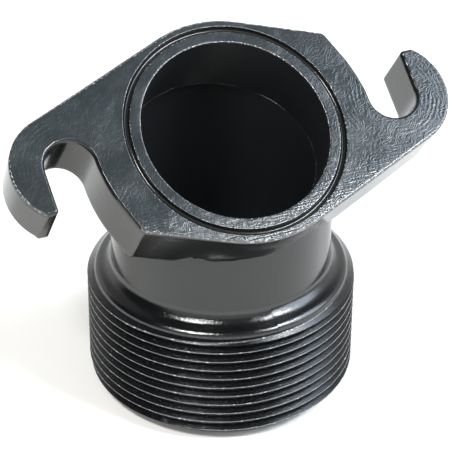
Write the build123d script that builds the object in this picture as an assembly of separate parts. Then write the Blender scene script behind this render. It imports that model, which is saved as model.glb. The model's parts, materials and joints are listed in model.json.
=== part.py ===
from build123d import *
import math
import os

# Quarter turn hose coupling: an angled hook flange on a short elbow neck with a 2 inch male pipe thread.
# Own frame: +Z up the thread axis, origin at the centre of the threaded end's bottom face,
# the two hooks lie along X, and the sealing face leans forward towards -Y.

# Bore and neck
bore_radius = 20.5
neck_wall = 3.8
neck_radius = bore_radius + neck_wall
bore_break = 1.0

# Threaded end, 2 inch pipe thread drawn at its crests
thread_radius = 29.807
thread_length = 26.0
lead_in_height = 3.2
lead_in_depth = 3.4

# Shoulder between thread and neck
land_step = 1.6
land_radius = thread_radius - land_step
land_height = thread_length + 0.7
shoulder_rise = 3.0
shoulder_height = land_height + shoulder_rise
neck_fillet = 1.2

# Leaning sealing face
lean_deg = 35.0
neck_height = 25.5
axis_cross_height = shoulder_height + neck_height
face_reach = 13.3

# Sealing groove, set outside the bore
groove_inset = 2.4
groove_inner_radius = bore_radius + groove_inset
groove_width = 1.4
groove_depth = 1.2

# Flange rim round the groove
rim_land = 1.7
rim_radius = groove_inner_radius + groove_width + rim_land
short_side_deg = 20.6
shoulder_corner_round = 1.6

# Slots for 10 mm clamping bolts
slot_web = 5.5
slot_width = 11.0
slot_centre = rim_radius + slot_web + slot_width / 2
slot_wall_sweep_deg = 20.0

# Hooks round the slots
hook_wall = 6.67
hook_radius = slot_width / 2 + hook_wall
hook_offset = 0.75
hook_centre = slot_centre + hook_offset
hook_tip_width = 2.85
hook_end_round = 0.8

# Flange thickness, draft and edges
flange_thickness = 14.8
wall_draft_deg = 2.0
wing_overlap = 1.5
wing_start = rim_radius + slot_web - wing_overlap
wing_draft_deg = 8.0
face_edge_break = 0.6


def polar(radius, degrees):
    return (radius * math.cos(math.radians(degrees)), radius * math.sin(math.radians(degrees)))


def hook_tip():
    """The outer end of the hook's flat end, on the hook's arc."""
    outer_wall = slot_centre + slot_width / 2
    across = outer_wall + hook_tip_width
    return (across, math.sqrt(hook_radius**2 - (across - hook_centre) ** 2))


def opposite(point):
    return (-point[0], -point[1])


def flange_blank():
    """The flange outline before its slots: rim arcs, straight sides, hook arcs and the corners beside the slots."""
    long_side_deg = math.degrees(math.asin((rim_radius - hook_radius) / hook_centre))
    rim_start = polar(rim_radius, 90 + long_side_deg)
    rim_end = polar(rim_radius, 90 - short_side_deg)
    corner = wall_corner()
    tip = hook_tip()
    tip_angle = math.degrees(math.asin(tip[1] / hook_radius))
    hook_mid = polar(hook_radius, (tip_angle + long_side_deg - 90) / 2)
    hook_low = polar(hook_radius, long_side_deg - 90)
    hook_mid = (hook_centre + hook_mid[0], hook_mid[1])
    hook_low = (hook_centre + hook_low[0], hook_low[1])
    half = [
        ThreePointArc(rim_start, (0, rim_radius), rim_end),
        Line(rim_end, corner),
        Line(corner, tip),
        ThreePointArc(tip, hook_mid, hook_low),
        Line(hook_low, opposite(rim_start)),
    ]
    other = [edge.rotate(Axis.Z, 180) for edge in half]
    return make_face(half + other)


def wall_corner():
    """Where the slot's inner wall, run straight on from its arc, meets the short side."""
    wall_radius = slot_centre - slot_width / 2
    start = polar(wall_radius, slot_wall_sweep_deg)
    along = polar(1, 90 + slot_wall_sweep_deg)
    side = polar(1, 90 - short_side_deg)
    reach = rim_radius - start[0] * side[0] - start[1] * side[1]
    step = reach / (along[0] * side[0] + along[1] * side[1])
    return (start[0] + step * along[0], start[1] + step * along[1])


def slot_cutter():
    """One slot: a round bottom, an inner wall on the bolt circle's arc and an outer wall up to the hook's end."""
    half_width = slot_width / 2
    wall_radius = slot_centre - half_width
    corner = wall_corner()
    past_corner = (2 * corner[0] - polar(wall_radius, slot_wall_sweep_deg)[0], 2 * corner[1])
    outer_wall = slot_centre + half_width
    past_hook = hook_centre + hook_radius
    hook_end = hook_tip()[1]
    edges = [
        ThreePointArc((wall_radius, 0), (slot_centre, -half_width), (outer_wall, 0)),
        Line((outer_wall, 0), (outer_wall, hook_end)),
        Line((outer_wall, hook_end), (past_hook, hook_end)),
        Line((past_hook, hook_end), (past_hook, past_corner[1])),
        Line((past_hook, past_corner[1]), past_corner),
        Line(past_corner, polar(wall_radius, slot_wall_sweep_deg)),
        ThreePointArc(
            polar(wall_radius, slot_wall_sweep_deg),
            polar(wall_radius, slot_wall_sweep_deg / 2),
            (wall_radius, 0),
        ),
    ]
    return make_face(edges)


def vertices_at(face, point):
    return [vertex for vertex in face.vertices() if (Vector(*vertex) - Vector(*point)).length < 0.01]


def flange_outline():
    """The whole outline with both slots open and their four outer corners rounded."""
    slot = slot_cutter()
    outline = flange_blank() - slot - slot.rotate(Axis.Z, 180)
    corner = wall_corner()
    tip_corner = (slot_centre + slot_width / 2, hook_tip()[1])
    shoulders = vertices_at(outline, corner) + vertices_at(outline, opposite(corner))
    outline = fillet(shoulders, shoulder_corner_round)
    tips = vertices_at(outline, tip_corner) + vertices_at(outline, opposite(tip_corner))
    return fillet(tips, hook_end_round)


def flange():
    """The hook flange on its own axes: sealing face at Z = 0, thickness going down."""
    body = extrude(flange_outline(), amount=-flange_thickness)
    face_edges = body.faces().sort_by(Axis.Z)[-1].outer_wire().edges()
    body = chamfer(face_edges, face_edge_break)
    body &= extrude(flange_blank(), amount=-flange_thickness, taper=wall_draft_deg)
    wing = Pos(wing_start, 0, -flange_thickness) * Rot(0, -wing_draft_deg, 0) * Box(
        40, 80, 20, align=(Align.MIN, Align.CENTER, Align.MAX)
    )
    return body - wing - wing.rotate(Axis.Z, 180)


def threaded_end():
    """The turned lower part as one revolved profile: lead-in, thread crests, land, shoulder and neck."""
    profile = Polyline(
        (0, 0),
        (thread_radius - lead_in_depth, 0),
        (thread_radius, lead_in_height),
        (thread_radius, thread_length),
        (land_radius, land_height),
        (neck_radius, shoulder_height),
        (neck_radius, axis_cross_height + neck_radius),
        (0, axis_cross_height + neck_radius),
        close=True,
    )
    body = revolve(Plane.XZ * make_face(profile), Axis.Z)
    root = body.edges().filter_by(GeomType.CIRCLE).filter_by(
        lambda edge: abs(edge.center().Z - shoulder_height) < 0.01
    )
    return fillet(root, neck_fillet)


def above_mitre(size):
    """A block filling the space above the plane where the upright and the leaning tube meet."""
    return Pos(0, 0, axis_cross_height) * Rot(lean_deg / 2, 0, 0) * Box(
        size, size, size, align=(Align.CENTER, Align.CENTER, Align.MIN)
    )


def coupling():
    leaning = Pos(0, 0, axis_cross_height) * Rot(lean_deg, 0, 0)
    upper_tube = leaning * Pos(0, 0, face_reach - groove_depth - 1) * Cylinder(
        neck_radius, 40, align=(Align.CENTER, Align.CENTER, Align.MAX)
    )
    body = threaded_end() - above_mitre(150)
    body += upper_tube & above_mitre(150)
    body += leaning * Pos(0, 0, face_reach) * flange()
    lower_bore = Cylinder(bore_radius, 120, align=(Align.CENTER, Align.CENTER, Align.MIN))
    upper_bore = leaning * Cylinder(bore_radius, 60, align=(Align.CENTER, Align.CENTER, Align.CENTER))
    body -= Pos(0, 0, -1) * lower_bore - above_mitre(200)
    body -= upper_bore & above_mitre(200)
    groove = Cylinder(
        groove_inner_radius + groove_width, groove_depth, align=(Align.CENTER, Align.CENTER, Align.MAX)
    ) - Cylinder(groove_inner_radius, groove_depth, align=(Align.CENTER, Align.CENTER, Align.MAX))
    body -= leaning * Pos(0, 0, face_reach) * groove
    mouth = body.edges().filter_by(GeomType.CIRCLE).filter_by(
        lambda edge: abs(edge.center().Z) < 0.01 and abs(edge.radius - bore_radius) < 0.01
    )
    return chamfer(mouth, bore_break)


os.makedirs("parts", exist_ok=True)
export_step(coupling(), "parts/coupling_body.step")
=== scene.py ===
import json
import math

import bmesh
import bpy
import numpy as np
from mathutils import Matrix, Vector


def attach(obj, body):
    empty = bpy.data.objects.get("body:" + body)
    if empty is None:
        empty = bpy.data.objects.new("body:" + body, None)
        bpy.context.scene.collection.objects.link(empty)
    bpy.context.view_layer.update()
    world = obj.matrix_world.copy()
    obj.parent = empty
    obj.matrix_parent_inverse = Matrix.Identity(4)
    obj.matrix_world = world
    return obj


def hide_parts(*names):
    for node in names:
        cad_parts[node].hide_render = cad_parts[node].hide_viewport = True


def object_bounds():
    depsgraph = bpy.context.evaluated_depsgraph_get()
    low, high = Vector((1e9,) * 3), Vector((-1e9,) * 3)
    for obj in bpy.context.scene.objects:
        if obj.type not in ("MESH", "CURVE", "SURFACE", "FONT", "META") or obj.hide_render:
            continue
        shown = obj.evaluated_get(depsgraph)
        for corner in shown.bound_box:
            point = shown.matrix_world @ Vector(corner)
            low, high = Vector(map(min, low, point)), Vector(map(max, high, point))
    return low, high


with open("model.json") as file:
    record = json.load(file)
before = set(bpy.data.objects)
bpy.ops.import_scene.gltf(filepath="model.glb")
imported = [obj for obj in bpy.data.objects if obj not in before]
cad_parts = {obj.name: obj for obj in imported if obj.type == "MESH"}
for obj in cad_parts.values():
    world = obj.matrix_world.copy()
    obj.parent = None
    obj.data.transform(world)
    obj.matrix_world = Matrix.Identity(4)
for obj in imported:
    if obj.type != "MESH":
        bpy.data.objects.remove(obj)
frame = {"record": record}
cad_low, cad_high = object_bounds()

# Sizes are in millimetres and angles in degrees. The lean is in radians, and the drafts and the mitre are slopes.
# The record gives the thread's and the bore's radius and the sealing face's place and lean.
MM = 0.001
mounts = {mount["name"]: mount for mount in frame["record"]["mounts"]}
thread_radius = mounts["thread"]["dims"]["r_mm"]
bore_radius = mounts["upper_bore"]["dims"]["r_mm"]
face_axis = np.array(mounts["sealing_face"]["axis"])
face_centre = np.array(mounts["sealing_face"]["pos_m"]) / MM * [0, 1, 1]
lean = math.atan2(-face_axis[1], face_axis[2])

# Elbow: an upright tube and a leaning one of the same radius that meet in a mitre.
neck_radius = bore_radius + 3.8
face_reach = 13.3
mitre_slope = math.tan(lean / 2)
axis_cross_height = face_centre[2] - face_reach * math.cos(lean)

# Threaded end: a 55 degree thread, its lead-in cone, and the land above it.
pitch = 2.309
thread_depth = 1.36
root_radius = thread_radius - thread_depth
flank_angle = 90 - 55 / 2
crest_round = 0.17
thread_top = 26.0
land_radius = 28.2
land_height = thread_top + 0.7
lead_in_depth = 3.4
lead_in_height = 3.2
bore_break = 1.0

# The thread's last crest passes this angle at this height. Its ridge runs so many turns below and above.
crest_angle = 245.94
crest_height = 26.27
turns_below = 11.2
turns_above = 0.6
ridge_low = 0.9
ridge_high = 27.3
ridge_fade = 60

# Where two die halves met: a step in the shoulder and a faint seam up the neck.
parting_angle = 272.25
parting_step = 0.3
seam_height = 0.05
seam_width = 0.7

# Sealing groove, partly filled with paint.
groove_inner = bore_radius + 2.4
groove_outer = groove_inner + 1.4
filled_depth = 0.95
groove_lip = 0.12
mouth_round = 0.22

# Hook flange: rim, slots and hooks.
rim_radius = groove_outer + 1.7
slot_radius = 5.5
slot_centre = rim_radius + 5.5 + slot_radius
slot_inner = slot_centre - slot_radius
slot_outer = slot_centre + slot_radius
slot_sweep = 20.0
hook_centre = slot_centre + 0.75
hook_radius = cad_high[0] / MM - hook_centre
hook_end = 9.5
short_side = 20.6
long_side = math.degrees(math.asin((rim_radius - hook_radius) / hook_centre))
shoulder_round = 1.6
tip_round = 0.8

# Hook flange: thickness, draft and wings.
thickness = 14.8
draft = math.tan(math.radians(2))
wing_start = rim_radius + 4.0
wing_draft = math.tan(math.radians(8))

# Hook flange: its broken edges, which are wider at the top and along the slots.
edge_break = 0.3
top_edge_break = 0.6
top_edge_from = 8.0
top_edge_over = 8.0
slot_edge_break = 0.42
widest_round = 0.8
arc_round_share = 0.62
foot_round = 0.5
buried_foot_round = 0.05

# Random fields, each with a seed, a wave's length and a strength. Dents widen the edges by a share of their
# width, and runs of thick paint hang out over the neck by millimetres.
long_dents = (3, 5.0, 0.12)
short_dents = (4, 1.5, 0.14)
long_runs = (12, 16.0, 0.2)
short_runs = (13, 4.0, 0.1)
run_depth = 0.32
drop_depth = 0.5
drop_place = -9.0
drop_width = 4.0
crest_wear = 0.025
burr_thickness = 0.05
burr_unevenness = 0.04

# How finely the meshes are drawn.
outline_step = 0.42
corner_step = 0.2
tip_step = 0.12
slot_step = 0.3
turn_step = 0.75
least_arc_points = 7
round_rows = 9
rear_points = 480


# ---------- meshes ----------

def from_face(across, along, height):
    """Points in the shared frame for places on the sealing face: across the hooks, along the lean, and out of
    the face. The last two are turned by the lean about the face's centre."""
    across, along, height = np.broadcast_arrays(across, along, height)
    y = face_centre[1] + along * math.cos(lean) - height * math.sin(lean)
    z = face_centre[2] + along * math.sin(lean) + height * math.cos(lean)
    return np.stack([across, y, z], -1)


def waves(places, seed, size, count=14):
    """A smooth random field in about -1 to 1: a sum of sine waves in random directions, each about size mm
    long."""
    rng = np.random.default_rng(seed)
    aim = rng.normal(size=(count, 3))
    aim *= (2 * np.pi / size * rng.uniform(0.6, 1.6, count) / np.linalg.norm(aim, axis=1))[:, None]
    phase = rng.uniform(0, 2 * np.pi, count)
    return np.sin(places @ aim.T + phase).sum(-1) / math.sqrt(count)


def compass(degrees):
    """The unit vector at an angle: its cosine and its sine."""
    return np.array([math.cos(math.radians(degrees)), math.sin(math.radians(degrees))])


def rays(angles):
    """One unit vector a row for an array of angles in radians: the cosine and the sine of each."""
    return np.stack([np.cos(angles), np.sin(angles)], 1)


class Shell:
    """Collects grids and flat polygons, then merges their shared edges into one closed mesh."""

    def __init__(self):
        self.points = []
        self.faces = []
        self.slots = []
        self.total = 0

    def grid(self, places, slot, wrap_rows=False, wrap_columns=True):
        """Quads between neighbouring rows and columns of an array of points; either way may close on itself.
        The material slot is one number, or one for each column of quads."""
        rows, columns = places.shape[:2]
        index = np.arange(rows * columns).reshape(rows, columns) + self.total
        if wrap_columns:
            index = np.concatenate([index, index[:, :1]], 1)
        if wrap_rows:
            index = np.concatenate([index, index[:1]], 0)
        quads = np.stack([index[:-1, :-1], index[:-1, 1:], index[1:, 1:], index[1:, :-1]], -1)
        self.points.append(places.reshape(-1, 3))
        self.total += rows * columns
        self.faces += quads.reshape(-1, 4).tolist()
        self.slots += np.broadcast_to(slot, quads.shape[:2]).ravel().tolist()

    def polygon(self, places, slot):
        """One flat face whose boundary is a loop of points."""
        self.faces.append((np.arange(len(places)) + self.total).tolist())
        self.points.append(places)
        self.total += len(places)
        self.slots.append(slot)

    def piece(self, name, materials, crease=32):
        """Makes the object: points that meet become one, faces turn outwards, and edges sharper than crease
        stay sharp. The piece rides the root body in place of the coupling's plain solid."""
        mesh = bpy.data.meshes.new(name)
        mesh.from_pydata((np.concatenate(self.points) * MM).tolist(), [], self.faces)
        for material in materials:
            mesh.materials.append(material)
        mesh.polygons.foreach_set("material_index", np.array(self.slots, np.int32))
        work = bmesh.new()
        work.from_mesh(mesh)
        bmesh.ops.remove_doubles(work, verts=work.verts, dist=2e-6)
        bmesh.ops.dissolve_degenerate(work, edges=work.edges, dist=1e-7)
        bmesh.ops.recalc_face_normals(work, faces=work.faces)
        work.to_mesh(mesh)
        work.free()
        mesh.polygons.foreach_set("use_smooth", np.ones(len(mesh.polygons), bool))
        mesh.set_sharp_from_angle(angle=math.radians(crease))
        item = bpy.data.objects.new(name, mesh)
        bpy.context.scene.collection.objects.link(item)
        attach(item, "root")
        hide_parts("coupling_body")
        return item


# ---------- flange outline ----------

def arc(centre, radius, start, stop, step, side=1, drafted=1.0):
    """A circle's arc from start to stop: the centre plus the radius times the unit vector at each angle.
    A row holds the point, its unit normal (away from the centre, or towards it for side -1), how far the wall
    is drafted, and the widest rounding that the arc leaves room for."""
    count = max(int(abs(math.radians(stop - start)) * radius / step), least_arc_points)
    ray = rays(np.radians(np.linspace(start, stop, count, endpoint=False)))
    room = min(arc_round_share * radius, widest_round)
    return np.c_[np.array(centre) + radius * ray, side * ray, np.full(count, drafted), np.full(count, room)]


def straight(start, stop, step, drafted=1.0):
    """A straight edge: the start plus even shares of the way to the stop. A row holds the point, the unit
    normal on the edge's right-hand side, how far the wall is drafted, and the widest rounding."""
    start, stop = np.array(start), np.array(stop)
    run = stop - start
    count = max(int(np.linalg.norm(run) / step), 2)
    along = np.linspace(0, 1, count, endpoint=False)[:, None]
    normal = np.array([run[1], -run[0]]) / np.linalg.norm(run)
    room = np.full(count, widest_round)
    return np.c_[start + along * run, np.tile(normal, (count, 1)), np.full(count, drafted), room]


def rounded(corner, heading_in, heading_out, radius, step):
    """The arc that rounds a corner turning left between two headings, with its first and last point. They lie
    before and behind the corner by the radius times the tangent of half the turn."""
    reach = radius * math.tan(math.radians(heading_out - heading_in) / 2)
    first = corner - reach * compass(heading_in)
    last = corner + reach * compass(heading_out)
    centre = first + radius * compass(heading_in + 90)
    return first, arc(centre, radius, heading_in - 90, heading_out - 90, step, drafted=0.5), last


def flange_outline():
    """The closed outline, counterclockwise from the right slot: half of it as arcs and straight edges, then
    the same half turned by 180 degrees."""
    turn = slot_inner * compass(slot_sweep)
    along = compass(90 + slot_sweep)
    side = compass(90 - short_side)
    corner = turn + along * (rim_radius - turn @ side) / (along @ side)
    heading_in, heading_out = 90 + slot_sweep, 180 - short_side
    wall_end, shoulder, side_start = rounded(corner, heading_in, heading_out, shoulder_round, corner_step)
    rim_start = 90 - short_side
    rim_end = 90 + long_side
    hook = np.array([-hook_centre, 0])
    rise = -hook_end + tip_round
    run = -math.sqrt((hook_radius - tip_round) ** 2 - rise**2)
    tip_angle = math.degrees(math.atan2(rise, run)) % 360
    half = np.concatenate([
        arc((0, 0), slot_inner, 0, slot_sweep, outline_step, drafted=0),
        straight(turn, wall_end, outline_step, drafted=0),
        shoulder,
        straight(side_start, rim_radius * compass(rim_start), outline_step),
        arc((0, 0), rim_radius, rim_start, rim_end, outline_step),
        straight(rim_radius * compass(rim_end), hook + hook_radius * compass(rim_end), outline_step),
        arc(hook, hook_radius, rim_end, tip_angle, outline_step),
        arc(hook + [run, rise], tip_round, tip_angle, 270, tip_step, drafted=0.5),
        straight((hook[0] + run, -hook_end), (-slot_outer - tip_round, -hook_end), outline_step, drafted=0),
        arc((-slot_outer - tip_round, rise), tip_round, 270, 360, tip_step, drafted=0),
        straight((-slot_outer, rise), (-slot_outer, 0), outline_step, drafted=0),
        arc((-slot_centre, 0), slot_radius, 180, 0, slot_step, side=-1, drafted=0),
    ])
    return np.concatenate([half, half * [-1, -1, -1, -1, 1, 1]])


# ---------- hook flange ----------

face_paint, wall_paint, bore_paint, edge_paint = range(4)
mid_wall = (bore_radius + neck_radius) / 2


def back_height(across):
    """The flange's back: a plane at the flange's thickness that rises evenly towards each hook's end."""
    return -thickness + np.maximum(np.abs(across) - wing_start, 0) * wing_draft


def mitre_height(along):
    """Height over the face at which the leaning tube meets the upright one, for a place along the lean."""
    return -face_reach - mitre_slope * along


def with_neighbours(values, combine):
    """Each value of a closed row combined with the three before it and the three after it."""
    return combine([np.roll(values, shift) for shift in range(-3, 4)], axis=0)


def edge_widths(place, drafted, room):
    """How wide the worn edge is at each point of the outline: the edge break, which grows towards the top and
    has a least width along the slots, times a random wear a little over one, within the outline's room."""
    spots = np.c_[place, np.zeros(len(place))]
    wear = 1.05
    for seed, length, share in (long_dents, short_dents):
        wear = wear + share * np.abs(waves(spots, seed, length))
    high = np.clip((place[:, 1] - top_edge_from) / top_edge_over, 0, 1)
    width = np.maximum(edge_break + (top_edge_break - edge_break) * high, slot_edge_break * (drafted == 0))
    room = with_neighbours(with_neighbours(room, np.min), np.mean)
    return np.minimum(width * wear, room)


def paint_sag(place, foot, over_neck):
    """How far thick paint hangs out where the front wall runs into the neck: an even run, one drop shaped as
    a bell curve, and two random fields, all fading towards the neck's sides and to the right."""
    spots = np.c_[place, np.zeros(len(place))]
    sag = run_depth + drop_depth * np.exp(-((foot[:, 0] - drop_place) / drop_width) ** 2)
    for seed, length, depth in (long_runs, short_runs):
        sag = sag + depth * waves(spots, seed, length)
    side_fade = 6
    right_end, right_fade = 10, 14
    spread = np.where(over_neck, np.clip((neck_radius - np.abs(foot[:, 0])) / side_fade, 0, 1), 0)
    return sag * spread * np.clip((right_end - foot[:, 0]) / right_fade, 0, 1)


def flange_wall(line):
    """The edge profile carried along the outline, one row of places and heights for each of its points. Going
    down, they are a narrow flat margin, a quarter turn between a flat break and a round, a wall that leans by
    its draft, and a quarter turn at the foot. Also says where the wall ends in the neck, not at the back."""
    place, normal, drafted, room = line[:, :2], line[:, 2:4], line[:, 4], line[:, 5]
    width = edge_widths(place, drafted, room)

    # The wall goes down to the back, or to the middle of the neck's wall where it runs into the neck first.
    foot = place - normal * (thickness * draft * drafted)[:, None]
    low = back_height(foot[:, 0])
    in_front = (foot[:, 1] < 0) & (np.abs(foot[:, 0]) < mid_wall)
    neck_y = -np.sqrt(np.maximum(mid_wall**2 - foot[:, 0] ** 2, 0))
    enters = (face_centre[1] + foot[:, 1] * math.cos(lean) - neck_y) / math.sin(lean)
    over_neck = in_front & (enters > low)
    low = np.where(over_neck, enters, low)
    foot_size = np.where(over_neck, buried_foot_round, foot_round)

    turn = np.radians(np.linspace(0, 90, round_rows))[:, None]
    down = np.linspace(0, 1, 14)[1:-1, None]
    under = np.radians(np.linspace(0, 90, 5))[:, None]
    margin = 0.18
    flat_share, round_share = 0.6, 0.4
    wall_low = low + foot_size
    inset = np.concatenate([
        (width + margin)[None],
        width * (flat_share * (1 - turn / turn[-1]) + round_share * (1 - np.sin(turn))),
        down * 0 * width,
        foot_size * (1 - np.cos(under)),
    ])
    height = np.concatenate([
        0 * width[None],
        -width * (flat_share * turn / turn[-1] + round_share * (1 - np.cos(turn))),
        -width + (wall_low + width) * down,
        wall_low - foot_size * np.sin(under),
    ])
    inset = inset + draft * drafted * np.maximum(-height - width, 0)

    # Paint hangs out on the lower part of the wall only, more and more towards its foot.
    depth_share = height / np.minimum(low, -1)
    hang_from, hang_over, hang_power = 0.45, 0.35, 1.5
    hang = np.clip((depth_share - hang_from) / hang_over, 0, 1) ** hang_power
    inset = inset - paint_sag(place, foot, over_neck) * hang
    return place[None] - normal[None] * inset[..., None], height, over_neck


def rear_of_neck(span):
    """The back plane's cut through the middle of the tubes' wall, at angles in radians about the bore: the
    leaning tube is cut on the far side of the mitre's line, and the upright one on the near side."""
    ray = rays(span)
    low_along = (mid_wall * ray[:, 1] - face_centre[1] - thickness * math.sin(lean)) / math.cos(lean)
    joint_along = (thickness - face_reach) / mitre_slope
    leaning = mid_wall * ray[:, 1] > joint_along
    along = np.where(leaning, mid_wall * ray[:, 1], np.minimum(low_along, joint_along))
    return from_face(mid_wall * ray[:, 0], along, -thickness)


def bore_and_groove(shell, loop, angle):
    """From a loop hidden in the neck's wall to the joint of the two bores, up the leaning bore and out over
    the ring and the groove to the flat face. Up the bore, heights are even shares of the way from the mitre.
    The rest is a profile of radius and height turned about the bore: quarter circles at the edges and half an
    ellipse of pooled paint in the groove. Returns the outermost ring."""
    around = rays(angle)
    joint = mitre_height(bore_radius * around[:, 1])
    rise = joint + (-mouth_round - joint) * np.linspace(0, 1, 16)[:, None]
    bore = from_face(bore_radius * around[:, 0], bore_radius * around[:, 1], rise)
    shell.grid(np.concatenate([loop[None], bore[:1]]), bore_paint)
    shell.grid(bore, bore_paint)

    quarter = np.radians(np.linspace(0, 90, 6))
    half_turn = np.radians(np.linspace(0, 180, 15))[1:-1]
    middle = (groove_inner + groove_outer) / 2
    half_width = (groove_outer - groove_inner) / 2
    inner_lip = groove_inner - groove_lip
    outer_lip = groove_outer + groove_lip
    mouth_centre = bore_radius + mouth_round
    mouth = [(mouth_centre - mouth_round * math.cos(a), -mouth_round * (1 - math.sin(a))) for a in quarter]
    ring = [(bore_radius + 0.6, 0), (inner_lip - 0.2, 0), (inner_lip, 0)]
    lip_in = [(inner_lip + groove_lip * math.sin(a), -groove_lip * (1 - math.cos(a))) for a in quarter[1:]]
    pool = [(middle - half_width * math.cos(a), -groove_lip - filled_depth * math.sin(a)) for a in half_turn]
    pool.append((groove_outer, -groove_lip))
    lip_out = [(outer_lip - groove_lip * math.cos(a), -groove_lip * (1 - math.sin(a))) for a in quarter[1:]]
    start = []
    for profile, paint in (
        (mouth, edge_paint),
        (ring, face_paint),
        (lip_in, edge_paint),
        (pool, wall_paint),
        (lip_out, edge_paint),
        ([(outer_lip + 0.1, 0)], face_paint),
    ):
        radius, height = np.array(start + profile).T[..., None]
        turned = from_face(radius * around[:, 0], radius * around[:, 1], height)
        shell.grid(turned, paint)
        start = profile[-1:]
    return turned[-1]


def close_face(shell, outer, ring, angle):
    """The flat face between the flange's edge and the ring round the groove: two polygons, split along the
    hooks' line."""
    angle = angle % (2 * math.pi)
    order = np.argsort(angle)
    ring, angle = ring[order], angle[order]
    upper = ring[angle <= math.pi]
    lower = ring[angle > math.pi]
    half = len(outer) // 2
    shell.polygon(np.concatenate([outer[:half + 1], lower[:1], upper[::-1]]), face_paint)
    shell.polygon(np.concatenate([outer[half:], outer[:1], upper[:1], lower[::-1]]), face_paint)


def close_back(shell, back, low_edge, neck_ends, rear, span):
    """The back in four polygons: each hook's rising wing, and the flat between the wings outside the neck,
    split at the middle of the neck's rear."""
    across = low_edge[:, 0]
    count = len(across)
    half = count // 2

    # Where the outline crosses the wings' start on the right. On the left it does so half the outline on.
    right_low = [k for k in range(half, count) if across[k] < wing_start <= across[(k + 1) % count]][0] + 1
    right_high = [k for k in range(0, half) if across[k] >= wing_start > across[k + 1]][0]
    left_low = right_high + half
    left_high = right_low - half

    # The middle of the neck's rear, a quarter turn past one full turn, and the upper edge's point above it.
    rear_middle = math.radians(360 + 90)
    middle = int(np.argmin(np.abs(span - rear_middle)))
    is_lower = low_edge[:half, 1] < 0
    top = int(np.argmin(np.where(is_lower, np.inf, np.abs(across[:half]))))
    neck_right, neck_left = neck_ends
    right_flat = [back[neck_right:right_low + 1], back[right_high:top + 1], rear[:middle + 1][::-1]]
    left_flat = [back[top:left_high + 1], back[left_low:neck_left + 1], rear[middle:][::-1]]
    for loop in (
        np.concatenate([back[right_low:], back[:right_high + 1]]),
        back[left_high:left_low + 1],
        np.concatenate(right_flat),
        np.concatenate(left_flat),
    ):
        shell.polygon(loop[::-1], wall_paint)


def hook_flange(materials):
    """The flange as one closed shell: the rounded and drafted edge carried along the outline, the flat face
    and back, the groove and ring turned about the bore, the leaning bore, and a strip hidden in the neck's
    wall."""
    shell = Shell()
    line = flange_outline()
    count = len(line)
    flat, height, over_neck = flange_wall(line)
    wall = from_face(flat[..., 0], flat[..., 1], height)
    slotted = line[:, 4] == 0
    shell.grid(wall[:2], face_paint)
    shell.grid(wall[1:round_rows + 1], np.where(slotted, wall_paint, edge_paint))
    shell.grid(wall[round_rows:], wall_paint)

    # The loop in the neck's wall: the wall's feet in front, and the back plane's cut through the tubes.
    order = np.roll(np.arange(count), -count // 2)
    front = order[over_neck[order]]
    front_points = wall[-1][front]
    front_angle = np.degrees(np.arctan2(front_points[:, 1], front_points[:, 0])) % 360
    span = np.radians(np.linspace(front_angle[-1], front_angle[0] + 360, rear_points + 2)[1:-1])
    rear = rear_of_neck(span)
    loop = np.concatenate([front_points, rear])
    angle = np.concatenate([np.radians(front_angle), span])
    close_face(shell, wall[0], bore_and_groove(shell, loop, angle), angle)
    close_back(shell, wall[-1], flat[-1], (front[-1], front[0]), rear, span)
    return shell.piece("hook_flange", materials)


# ---------- neck and thread ----------

def lead_in_radius(z):
    """The thread's limit at the bottom: a cone that opens evenly to the full radius over the lead-in."""
    return thread_radius - lead_in_depth * (1 - np.clip(z / lead_in_height, 0, 1))


def top_radius(z):
    """The thread's limit at the top: the small cone from the last thread in to the land, and on past it."""
    share = np.clip((z - thread_top) / (land_height - thread_top), 0, 3)
    return thread_radius - (thread_radius - land_radius) * share


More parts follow.
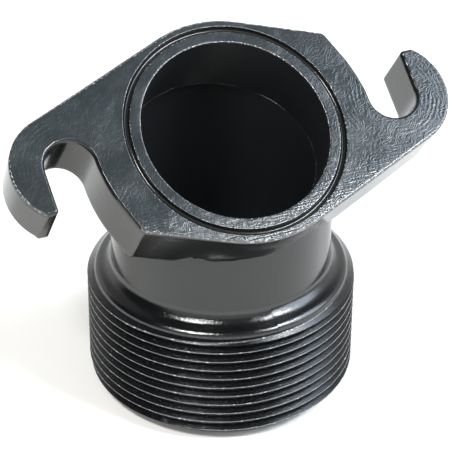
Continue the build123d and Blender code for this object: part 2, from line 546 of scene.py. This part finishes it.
def threaded_neck(materials):
    """The neck, its shoulder and the thread's core as one closed shell: a profile turned about the thread's
    axis up to the joint, then carried up the leaning tube, back inside the flange and down the lower bore."""
    neck_paint, thread_paint, bore_paint, shoulder_paint = range(4)
    shell = Shell()

    # One more column just past the parting line keeps the step sharp. The step fades out by half a turn on.
    step_width, fade_end, fade = 0.02, 180, 60
    angle = np.radians(np.sort(np.append(np.arange(0, 360, turn_step), parting_angle + 1.5 * step_width)))
    around = rays(angle)
    side = (np.degrees(angle) - parting_angle) % 360
    offset = parting_step * np.clip(side / step_width, 0, 1) * np.clip((fade_end - side) / fade, 0, 1)

    def turned(profile, shift):
        """A profile of radius and height turned about the thread's axis: the radius times the unit vector at
        each angle. Shift is each row's share of the step at the parting line."""
        profile = np.array(profile, float)
        spread = profile[:, :1, None] * around[None]
        lift = profile[:, 1:] + np.broadcast_to(shift, len(profile))[:, None] * offset
        return np.concatenate([spread, lift[..., None]], 2)

    rim = thread_radius - lead_in_depth
    core_start = lead_in_height * (root_radius - rim) / lead_in_depth
    mouth = [
        (bore_radius, bore_break),
        (bore_radius + bore_break, 0),
        (rim - 0.35, 0),
        (rim - 0.08, 0.09),
        (rim + 0.1, 0.3),
    ]
    core = [
        (root_radius, core_start),
        (root_radius, 12),
        (root_radius, thread_top - 1),
        (root_radius + 0.25, thread_top - 0.7),
        (thread_radius - 0.42, thread_top - 0.25),
    ]
    land = [
        (thread_radius - 0.2, thread_top - 0.07),
        (thread_radius - 0.27, thread_top + 0.05),
        (land_radius + 0.12, land_height - 0.12),
        (land_radius + 0.05, land_height),
    ]
    slope = [
        (land_radius, 27.0),
        (28.14, 27.2),
        (28.02, 27.42),
        (27.85, 27.6),
        (27.65, 27.79),
        (27.42, 27.95),
        (27.1, 28.08),
        (26.5, 28.25),
    ]
    foot = [
        (25.9, 28.45),
        (25.55, 28.72),
        (25.2, 29.05),
        (24.9, 29.38),
        (24.65, 29.72),
        (24.45, 30.15),
        (24.34, 30.6),
        (neck_radius, 31.1),
    ]
    start = []
    for profile, paint, shift in (
        (mouth, thread_paint, 0),
        (core, thread_paint, 0),
        (land, thread_paint, 0),
        (slope, shoulder_paint, [0, 0.4] + [1] * 7),
        (foot, shoulder_paint, [1] * 5 + [0.8, 0.5, 0.2, 0]),
    ):
        shell.grid(turned(start + profile, shift), paint)
        start = profile[-1:]

    # The upright neck, with the seam as a bell curve about the parting line, and the leaning tube above it.
    neck_start = foot[-1][1]
    joint_out = axis_cross_height + mitre_slope * neck_radius * around[:, 1]
    up = np.linspace(0, 1, 14)[:, None]
    rise = neck_start + (joint_out - neck_start) * up
    off_seam = (side + 180) % 360 - 180
    seam = seam_height * np.exp(-(off_seam / seam_width) ** 2) * np.minimum(1, 8 * up * (1 - up))
    seamed = neck_radius + seam
    shell.grid(np.stack([seamed * around[:, 0], seamed * around[:, 1], rise], 2), neck_paint)
    tube_end = -3.0
    low_end = mitre_height(neck_radius * around[:, 1])
    lean_rise = low_end + (tube_end - low_end) * np.linspace(0, 1, 12)[:, None]
    tube = from_face(neck_radius * around[:, 0], neck_radius * around[:, 1], lean_rise)
    shell.grid(tube, neck_paint)

    # Back inside the flange to the joint of the two bores, and down the upright one.
    joint_in = axis_cross_height + mitre_slope * bore_radius * around[:, 1]
    fall = joint_in + (bore_break - joint_in) * np.linspace(0, 1, 24)[:, None]
    bore = np.stack([bore_radius * around[:, 0] + 0 * fall, bore_radius * around[:, 1] + 0 * fall, fall], 2)
    shell.grid(np.concatenate([tube[-1:], bore[:1]]), bore_paint)
    shell.grid(bore, bore_paint)
    return shell.piece("threaded_neck", materials, crease=40)


def thread_ridge(materials):
    """The male thread: a ridge with straight flanks and a round crest, carried up a right-hand helix whose
    height grows by the pitch each turn. It fades out at both ends, and two cones cut it back there."""
    flank_paint, crest_paint = range(2)
    flank = math.radians(flank_angle)
    bend = np.linspace(-flank, flank, 7)
    crest = np.stack([crest_round * np.sin(bend), thread_radius - crest_round * (1 - np.cos(bend))], 1)
    sunk = root_radius - 0.3
    reach = crest[-1, 0] + (crest[-1, 1] - sunk) / math.tan(flank)
    section = np.concatenate([[(-reach, sunk)], crest, [(reach, sunk)]])
    step = 1.0
    clearance = 0.02
    least_share = 0.05
    sweep = np.arange(-turns_below * 360, turns_above * 360, step)
    centre_z = crest_height + pitch * sweep / 360
    theta = np.radians(crest_angle + sweep)
    z = centre_z[:, None] + section[None, :, 0]
    dents = waves(np.c_[30 * rays(theta), centre_z], 8, 1.8)
    wear = crest_wear * (dents - 1)
    radius = section[None, :, 1] + wear[:, None] * (section[None, :, 1] > thread_radius - 0.1)
    keep = (centre_z > ridge_low) & (centre_z < ridge_high)
    z, radius, theta = np.maximum(z, 0.1)[keep], radius[keep], theta[keep]
    ends = np.minimum(np.arange(len(theta)), np.arange(len(theta))[::-1]) * step
    tall = (top_radius(centre_z[keep]) - sunk) / (thread_radius - sunk)
    share = np.clip(ends / ridge_fade, least_share, 1) * np.clip(tall, least_share, 1)
    radius = sunk + (radius - sunk) * share[:, None]
    radius = np.minimum(radius, np.minimum(lead_in_radius(z), top_radius(z)) - clearance)
    places = np.stack([radius * np.cos(theta)[:, None], radius * np.sin(theta)[:, None], z], 2)
    shell = Shell()
    shell.grid(places, [flank_paint] * 2 + [crest_paint] * 4 + [flank_paint] * 3)
    shell.polygon(places[0], flank_paint)
    shell.polygon(places[-1], flank_paint)
    return shell.piece("thread_ridge", materials, crease=60)


def joint_burr(materials):
    """The thin burr left where the two bores meet: a small circle carried round the joint, thick and thin by
    a random field."""
    angle = np.radians(np.arange(0, 360, turn_step))[None]
    bend = np.radians(np.arange(0, 360, 45))[:, None]
    course = np.c_[20 * rays(angle[0]), 0 * angle[0]]
    thick = burr_thickness + burr_unevenness * np.clip(waves(course, 21, 9.0), -1, 1.5)[None]
    radius = bore_radius + 0.02 - thick * np.cos(bend)
    z = axis_cross_height + mitre_slope * radius * np.sin(angle) + thick * np.sin(bend)
    shell = Shell()
    shell.grid(np.stack([radius * np.cos(angle), radius * np.sin(angle), z], 2), 0, wrap_rows=True)
    return shell.piece("joint_burr", materials, crease=80)


# ---------- materials ----------

def linear(code):
    """An sRGB hex colour as linear values with alpha."""
    values = [int(code[i:i + 2], 16) / 255 for i in (0, 2, 4)]
    return [v / 12.92 if v <= 0.04045 else ((v + 0.055) / 1.055) ** 2.4 for v in values] + [1.0]


def node(tree, kind, inputs=(), **settings):
    """Adds a node and sets its properties or sockets by name.
    An input is (socket, value), or (socket, from node, from socket) for a link."""
    made = tree.nodes.new(kind)
    for name, value in settings.items():
        if hasattr(made, name):
            setattr(made, name, value)
        else:
            made.inputs[name.replace("_", " ")].default_value = value
    for socket, source, *output in inputs:
        if output:
            tree.links.new(source.outputs[output[0]], made.inputs[socket])
        else:
            made.inputs[socket].default_value = source
    return made


def blank_material(name):
    """A new material and its empty node tree."""
    material = bpy.data.materials.new(name)
    material.use_nodes = True
    material.node_tree.nodes.clear()
    return material, material.node_tree


def specks_and_glints(tree, where, size, least, most, dark, light):
    """A colour that turns from dark to light where a fine noise passes from least to most: dust and flaked paint,
    or painted glints and highlights.
    """
    place = [("Vector", where, "Object")]
    noise = node(tree, "ShaderNodeTexNoise", place, Scale=1 / (size * MM), Detail=2.0, Roughness=0.7)
    share = node(tree, "ShaderNodeMapRange", [("Value", noise, "Fac")], From_Min=least, From_Max=most)
    mixed = [("Fac", share, "Result")]
    return node(tree, "ShaderNodeMixRGB", mixed, Color1=linear(dark), Color2=linear(light))


def ripple(tree, where, size, height, detail=3.0):
    """A bump from noise of the given size and height in mm."""
    place = [("Vector", where, "Object")]
    noise = node(tree, "ShaderNodeTexNoise", place, Scale=1 / (size * MM), Detail=detail, Roughness=0.6)
    return node(tree, "ShaderNodeBump", [("Height", noise, "Fac")], Strength=1.0, Distance=height * MM)


def finish(material, tree, colour, bump, inputs=(), **settings):
    """Ends a material with a Principled shader that takes the colour, the bump and whatever else is given."""
    inputs = [("Base Color", colour, "Color"), ("Normal", bump, "Normal"), *inputs]
    shader = node(tree, "ShaderNodeBsdfPrincipled", inputs, **settings)
    node(tree, "ShaderNodeOutputMaterial", [("Surface", shader, "BSDF")])
    return material


def enamel(name, colour, roughness, ior, size, height, chips_and_glints=("9A9C9C", 0.3, 0.80, 0.90)):
    """Sprayed black alkyd enamel: a deep black under a clear gloss that mirrors the studio, rippled by what
    lies below. The speck setting is a colour, a size and the noise's range: dust and flaked paint on some
    enamels, painted glints and highlights on others. They are drawn three to six times coarser than the real
    dust and flakes of 0.1 mm, so that they show."""
    material, tree = blank_material(name)
    where = node(tree, "ShaderNodeTexCoord")
    light, speck_size, least, most = chips_and_glints
    tone = specks_and_glints(tree, where, speck_size, least, most, colour, light)
    return finish(material, tree, tone, ripple(tree, where, size, height), Roughness=roughness, IOR=ior)


def milled_face():
    """Enamel over the milled sealing face: orange peel over swirling tool lines, cutter arcs round the slots,
    and fine scratches across the front of the ring. The eye sees a grey sheen that breaks into short bright
    lines. The real marks are 0.1 to 0.3 mm apart, and they are drawn about three times coarser, so that they
    show."""
    peel_size, peel_height = 1.0, 0.025
    swirl_size, swirl_lines, swirl_height = 4.5, 105.0, 0.0052
    arc_spacing, arc_height, arc_sway = 0.95, 0.007, 0.7
    arc_near, arc_far = 9, 17
    scratches = ((8, 0.3, 0.095), (0.45, 4.0, 0.055))
    material, tree = blank_material("enamel_over_milled_face")
    where = node(tree, "ShaderNodeTexCoord")
    # Pale specks over the dark enamel: painted glints.
    tone = specks_and_glints(tree, where, 0.35, 0.74, 0.82, "23292B", "9CA0A4")

    # The face's own axes: across the hooks, along the lean, and out of the face.
    along = face_centre[1] * math.cos(lean) + face_centre[2] * math.sin(lean)
    out = face_centre[2] * math.cos(lean) - face_centre[1] * math.sin(lean)
    to_face = (0, -along * MM, -out * MM)
    flat = node(
        tree, "ShaderNodeMapping", [("Vector", where, "Object")], Rotation=(-lean, 0, 0), Location=to_face
    )
    place = node(tree, "ShaderNodeSeparateXYZ", [("Vector", flat, "Vector")])

    # Orange peel, and tool lines that follow the contours of a slow noise.
    peel = ripple(tree, where, peel_size, peel_height, detail=1.0)
    drift = node(
        tree, "ShaderNodeTexNoise", [("Vector", where, "Object")],
        Scale=1 / (swirl_size * MM), Detail=2.0, Roughness=0.45,
    )
    bands = node(tree, "ShaderNodeMath", [(0, drift, "Fac"), (1, swirl_lines)], operation="MULTIPLY")
    lines = node(tree, "ShaderNodeMath", [(0, bands, "Value")], operation="SINE")
    over_peel = [("Height", lines, "Value"), ("Normal", peel, "Normal")]
    grain = node(tree, "ShaderNodeBump", over_peel, Distance=swirl_height * MM)

    # Cutter arcs: a sine of the distance to the nearer slot's centre, faded out away from the slot and broken
    # up by noise.
    folded = node(tree, "ShaderNodeVectorMath", [(0, flat, "Vector")], operation="ABSOLUTE")
    wobble = node(tree, "ShaderNodeTexNoise", [("Vector", where, "Object")], Scale=1 / (4 * MM), Detail=1.0)
    slot_place = (slot_centre * MM, 0, 0)
    reach = node(tree, "ShaderNodeVectorMath", [(0, folded, "Vector"), (1, slot_place)], operation="DISTANCE")
    swayed = [(0, wobble, "Fac"), (1, arc_sway * MM), (2, reach, "Value")]
    sway = node(tree, "ShaderNodeMath", swayed, operation="MULTIPLY_ADD")
    turns = 2 * math.pi / (arc_spacing * MM)
    beat = node(tree, "ShaderNodeMath", [(0, sway, "Value"), (1, turns)], operation="MULTIPLY")
    wave = node(tree, "ShaderNodeMath", [(0, beat, "Value")], operation="SINE")
    near = node(
        tree, "ShaderNodeMapRange", [("Value", reach, "Value")], From_Min=arc_far * MM, From_Max=arc_near * MM
    )
    patch = node(tree, "ShaderNodeMapRange", [("Value", wobble, "Fac")], From_Min=0.45, From_Max=0.62)
    amount = node(tree, "ShaderNodeMath", [(0, near, "Result"), (1, patch, "Result")], operation="MULTIPLY")
    arcs = node(tree, "ShaderNodeMath", [(0, wave, "Value"), (1, amount, "Value")], operation="MULTIPLY")
    over_grain = [("Height", arcs, "Value"), ("Normal", grain, "Normal")]
    cut = node(tree, "ShaderNodeBump", over_grain, Distance=arc_height * MM)

    # Scratches: noise drawn out along the hooks' line and, more weakly, along the lean, most at the front.
    front = node(tree, "ShaderNodeMapRange", [("Value", place, "Y")], From_Min=-10 * MM, From_Max=-24 * MM)
    for length, spacing, depth in scratches:
        drawn_out = (1 / (length * MM), 1 / (spacing * MM), 0)
        drawn = node(tree, "ShaderNodeMapping", [("Vector", flat, "Vector")], Scale=drawn_out)
        stretched = [("Vector", drawn, "Vector")]
        hair = node(tree, "ShaderNodeTexNoise", stretched, Scale=1.0, Detail=2.0, Roughness=0.7)
        score = node(tree, "ShaderNodeMath", [(0, hair, "Fac"), (1, front, "Result")], operation="MULTIPLY")
        over_cut = [("Height", score, "Value"), ("Normal", cut, "Normal")]
        cut = node(tree, "ShaderNodeBump", over_cut, Distance=depth * MM)

    # The gloss comes and goes in soft patches.
    dull = node(tree, "ShaderNodeTexNoise", [("Vector", where, "Object")], Scale=1 / (7 * MM), Detail=3.0)
    gloss = node(
        tree, "ShaderNodeMapRange", [("Value", dull, "Fac")],
        From_Min=0.35, From_Max=0.65, To_Min=0.16, To_Max=0.26,
    )
    return finish(material, tree, tone, cut, [("Roughness", gloss, "Result")], IOR=1.75)


# Over the milled face: a grey sheen that breaks into short bright lines.
face_enamel = milled_face()

# The other enamels each have a colour, a roughness, an IOR, and their ripple's size and height in mm: about
# 1.5 mm for orange peel and 0.3 to 0.5 mm for pits. The IOR starts from a clear alkyd's 1.5 and is then
# matched to how much each surface mirrors.

# Over the cast side walls: a black that mirrors the studio in soft, wavy patches.
wall_enamel = enamel("enamel_over_cast_wall", "151615", 0.16, 1.51, 1.6, 0.03)

# On the broken edges: a bright, pitted line that draws the outline, partly paint worn thin and partly a painted
# highlight where the rounded edge catches the light.
edge_wear_and_highlight = ("A0A4A6", 0.5, 0.53, 0.68)
edge_enamel = enamel("worn_enamel_on_broken_edge", "1E1F21", 0.18, 2.0, 0.4, 0.14, edge_wear_and_highlight)

# In the bore: a softer sheen that grades evenly from light to dark, on a black a little lighter than the walls':
# painted light for the dim bore.
bore_enamel = enamel("enamel_in_bore", "1B1C1E", 0.28, 1.8, 1.2, 0.03)

# Over the smooth turned neck: a clean grey reflection with a few pale specks of dust.
neck_specks = ("B0A890", 0.4, 0.78, 0.86)
neck_enamel = enamel("enamel_over_turned_neck", "121312", 0.13, 1.53, 1.2, 0.012, neck_specks)

# Pooled on the shoulder: the deepest black, with narrow wet highlights.
shoulder_enamel = enamel("thick_enamel_on_shoulder", "0B0C0D", 0.11, 1.62, 0.42, 0.05)

# In the thread: black flanks dotted with fine pale specks, a painted sparkle.
thread_glints = ("8A9298", 0.25, 0.68, 0.76)
thread_enamel = enamel("enamel_over_thread", "0B0C0E", 0.13, 1.45, 0.3, 0.05, thread_glints)

# On the thread's crests: a grey line along each turn, broken by white flecks: a painted highlight with painted
# glints.
crest_glints = ("D0D2D0", 0.6, 0.58, 0.70)
crest_enamel = enamel("thin_enamel_on_thread_crest", "4E5151", 0.2, 1.8, 0.5, 0.08, crest_glints)

hook_flange([face_enamel, wall_enamel, bore_enamel, edge_enamel])
threaded_neck([neck_enamel, thread_enamel, bore_enamel, shoulder_enamel])
thread_ridge([thread_enamel, crest_enamel])
joint_burr([edge_enamel])

# ---------- floor, lights and camera ----------

# Matt white studio paper, just off white, so that the floor fades into the backdrop.
floor_half, floor_height = 4, -0.0002
floor_mesh = bpy.data.meshes.new("floor")
corner_signs = ((-1, -1), (1, -1), (1, 1), (-1, 1))
floor_corners = [(x * floor_half, y * floor_half, floor_height) for x, y in corner_signs]
floor_mesh.from_pydata(floor_corners, [], [(0, 1, 2, 3)])
floor = bpy.data.objects.new("floor", floor_mesh)
bpy.context.scene.collection.objects.link(floor)
white_floor, tree = blank_material("white_studio_floor")
shade = node(tree, "ShaderNodeBsdfDiffuse", Color=linear("FDFCF9"))
node(tree, "ShaderNodeOutputMaterial", [("Surface", shade, "BSDF")])
floor_mesh.materials.append(white_floor)

# A white backdrop fades into a dim ceiling, and reflections also show a black card that hangs on the left.
card_direction = (-0.87, 0.25, 0.42)
world = bpy.data.worlds.new("studio")
bpy.context.scene.world = world
world.use_nodes = True
tree = world.node_tree
tree.nodes.clear()
toward = node(tree, "ShaderNodeTexCoord")
height = node(tree, "ShaderNodeSeparateXYZ", [("Vector", toward, "Generated")])
ceiling = node(
    tree, "ShaderNodeMapRange", [("Value", height, "Z")],
    From_Min=0.62, From_Max=1.0, To_Min=0.4, To_Max=0.06,
)
dome = node(
    tree, "ShaderNodeMapRange", [("Value", height, "Z"), ("To Max", ceiling, "Result")],
    From_Min=0.46, From_Max=0.62, To_Min=1.0,
)
toward_card = [(0, toward, "Generated"), (1, card_direction)]
side = node(tree, "ShaderNodeVectorMath", toward_card, operation="DOT_PRODUCT")
card = node(tree, "ShaderNodeMapRange", [("Value", side, "Value")], From_Min=0.8, From_Max=0.92)
path = node(tree, "ShaderNodeLightPath")
when_mirrored = [(0, card, "Result"), (1, path, "Is Glossy Ray")]
mirrored = node(tree, "ShaderNodeMath", when_mirrored, operation="MULTIPLY")
backdrop_and_card = [("Factor", mirrored, "Value"), ("A", dome, "Result")]
level = node(tree, "ShaderNodeMix", backdrop_and_card, data_type="FLOAT", B=0.04)
back = node(tree, "ShaderNodeBackground", [("Strength", level, "Result")], Color=linear("FFFFFF"))
node(tree, "ShaderNodeOutputWorld", [("Surface", back, "Background")])


def softbox(name, direction, size, power, colour):
    """A studio lamp of a given width and height in metres, in a given direction from the object and aimed at
    it."""
    distance, middle = 1.3, Vector((0, 0, 0.045))
    lamp = bpy.data.lights.new(name, "AREA")
    lamp.shape = "RECTANGLE"
    lamp.energy = power
    lamp.color = linear(colour)[:3]
    lamp.size, lamp.size_y = size
    item = bpy.data.objects.new(name, lamp)
    aim = Vector(direction).normalized()
    item.location = middle + aim * distance
    item.rotation_mode = "QUATERNION"
    item.rotation_quaternion = aim.to_track_quat("Z", "Y")
    bpy.context.scene.collection.objects.link(item)


softbox("key", (-0.465, -0.345, 0.814), (0.4, 0.16), 13, "FFFFFF")
softbox("second_key", (0.45, -0.515, 0.728), (0.4, 0.16), 10, "FFFFFF")
softbox("side", (0.67, -0.41, 0.64), (0.9, 0.9), 17, "D6E4F4")

# The camera looks along its heading, down by its pitch, and leans by a small roll.
camera_place = Vector((-0.16031, -0.36165, 0.29976))
heading, down, roll = math.radians(24.063), math.radians(-33.607), math.radians(0.462)
camera = bpy.data.cameras.new("camera")
camera.lens = 171.6
camera.sensor_width = 36.0
camera.clip_end = 20
viewer = bpy.data.objects.new("camera", camera)
forward = Vector((math.sin(heading) * math.cos(down), math.cos(heading) * math.cos(down), math.sin(down)))
level_right = forward.cross(Vector((0, 0, 1))).normalized()
level_up = level_right.cross(forward)
right = level_right * math.cos(roll) + level_up * math.sin(roll)
up = right.cross(forward)
pose = Matrix((right, up, -forward)).transposed().to_4x4()
pose.translation = camera_place
viewer.matrix_world = pose
bpy.context.scene.collection.objects.link(viewer)
bpy.context.scene.camera = viewer
bpy.context.scene.view_settings.view_transform = "Standard"
